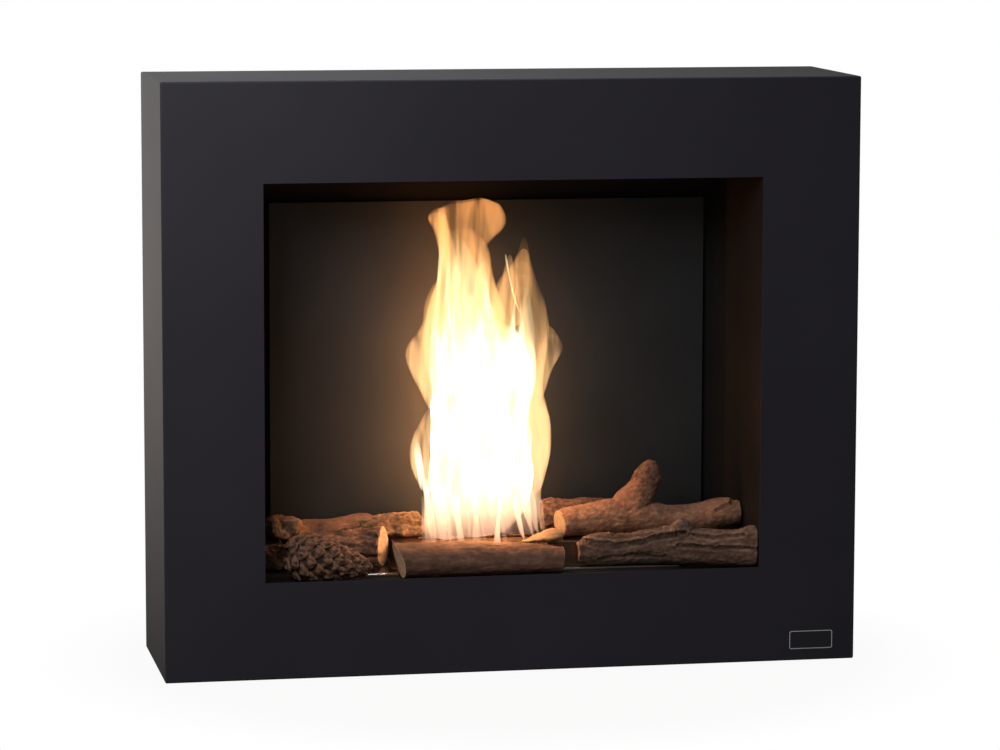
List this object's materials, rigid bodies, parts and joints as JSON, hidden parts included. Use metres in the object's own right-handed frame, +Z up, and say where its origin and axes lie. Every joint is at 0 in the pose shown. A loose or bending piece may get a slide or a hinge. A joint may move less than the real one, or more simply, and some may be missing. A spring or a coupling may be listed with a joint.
{
  "type": "bioethanol fireplace",
  "caption": "Wall-hung bioethanol fireplace: folded dark steel cabinet with an open-fronted firebox, stainless burner with a regulator slider, ceramic logs and a pine cone.",
  "frame": {"origin": "under the middle of the cabinet, on the plane that its base stands on", "axes": "+X to the viewer's right, +Y from the front face towards the wall, +Z up"},
  "size_m": [0.83, 0.2203, 0.7],
  "materials": {
    "cabinet_paint": "fine-textured matt anthracite powder coat",
    "firebox_paint": "matt black heat-resistant paint",
    "liner_satin": "satin black heat-resistant enamel",
    "zinc_sheet": "galvanised sheet",
    "zinc_screw": "bright zinc plated",
    "stainless_tray": "brushed stainless steel",
    "stainless_burner": "brushed stainless steel, lightly heat-tinted",
    "fibre": "matt white ceramic fibre",
    "badge_metal": "dark anodised, satin",
    "log_brown": "matt cast ceramic, brown bark",
    "log_tan": "matt cast ceramic, smooth tan bark",
    "log_grey": "matt cast ceramic, weathered grey-brown",
    "cone_brown": "matt cast ceramic, brown scales"
  },
  "bodies": {
    "cabinet": {"casing": "cabinet_paint", "firebox_left_wall": "firebox_paint", "firebox_right_wall": "firebox_paint", "firebox_roof": "firebox_paint", "firebox_floor": "firebox_paint", "firebox_back": "firebox_paint", "firebox_screws": "zinc_screw", "back_liner": "liner_satin", "liner_studs": "liner_satin", "floor_support_left": "zinc_sheet", "floor_support_right": "zinc_sheet", "panel_cleats": "zinc_sheet", "rear_panel": "zinc_sheet", "rear_panel_screws": "zinc_screw", "rear_spacers": "zinc_sheet", "wall_rail": "zinc_sheet", "hanging_rail": "zinc_sheet", "rail_rivets": "zinc_screw", "hearth_tray": "stainless_tray", "burner_tank": "stainless_burner", "burner_top": "stainless_burner", "ceramic_fibre": "fibre", "slider_guide_front": "stainless_burner", "slider_guide_rear": "stainless_burner", "badge_plate": "badge_metal", "front_log": "log_brown", "twig": "log_brown", "forked_log": "log_tan", "driftwood": "log_grey", "back_right_log": "log_brown", "cut_log": "log_brown", "back_left_log": "log_brown", "bark_slab": "log_brown", "stump": "log_grey", "corner_log": "log_brown", "pine_cone": "cone_brown"},
    "regulator": {"regulator_slider": "stainless_burner", "slider_knob": "stainless_burner"}
  },
  "joints": [
    {"name": "regulator_slide", "type": "slide", "parent": "cabinet", "child": "regulator", "axis": [-1, 0, 0], "range_m": [0, 0.149]}
  ]
}
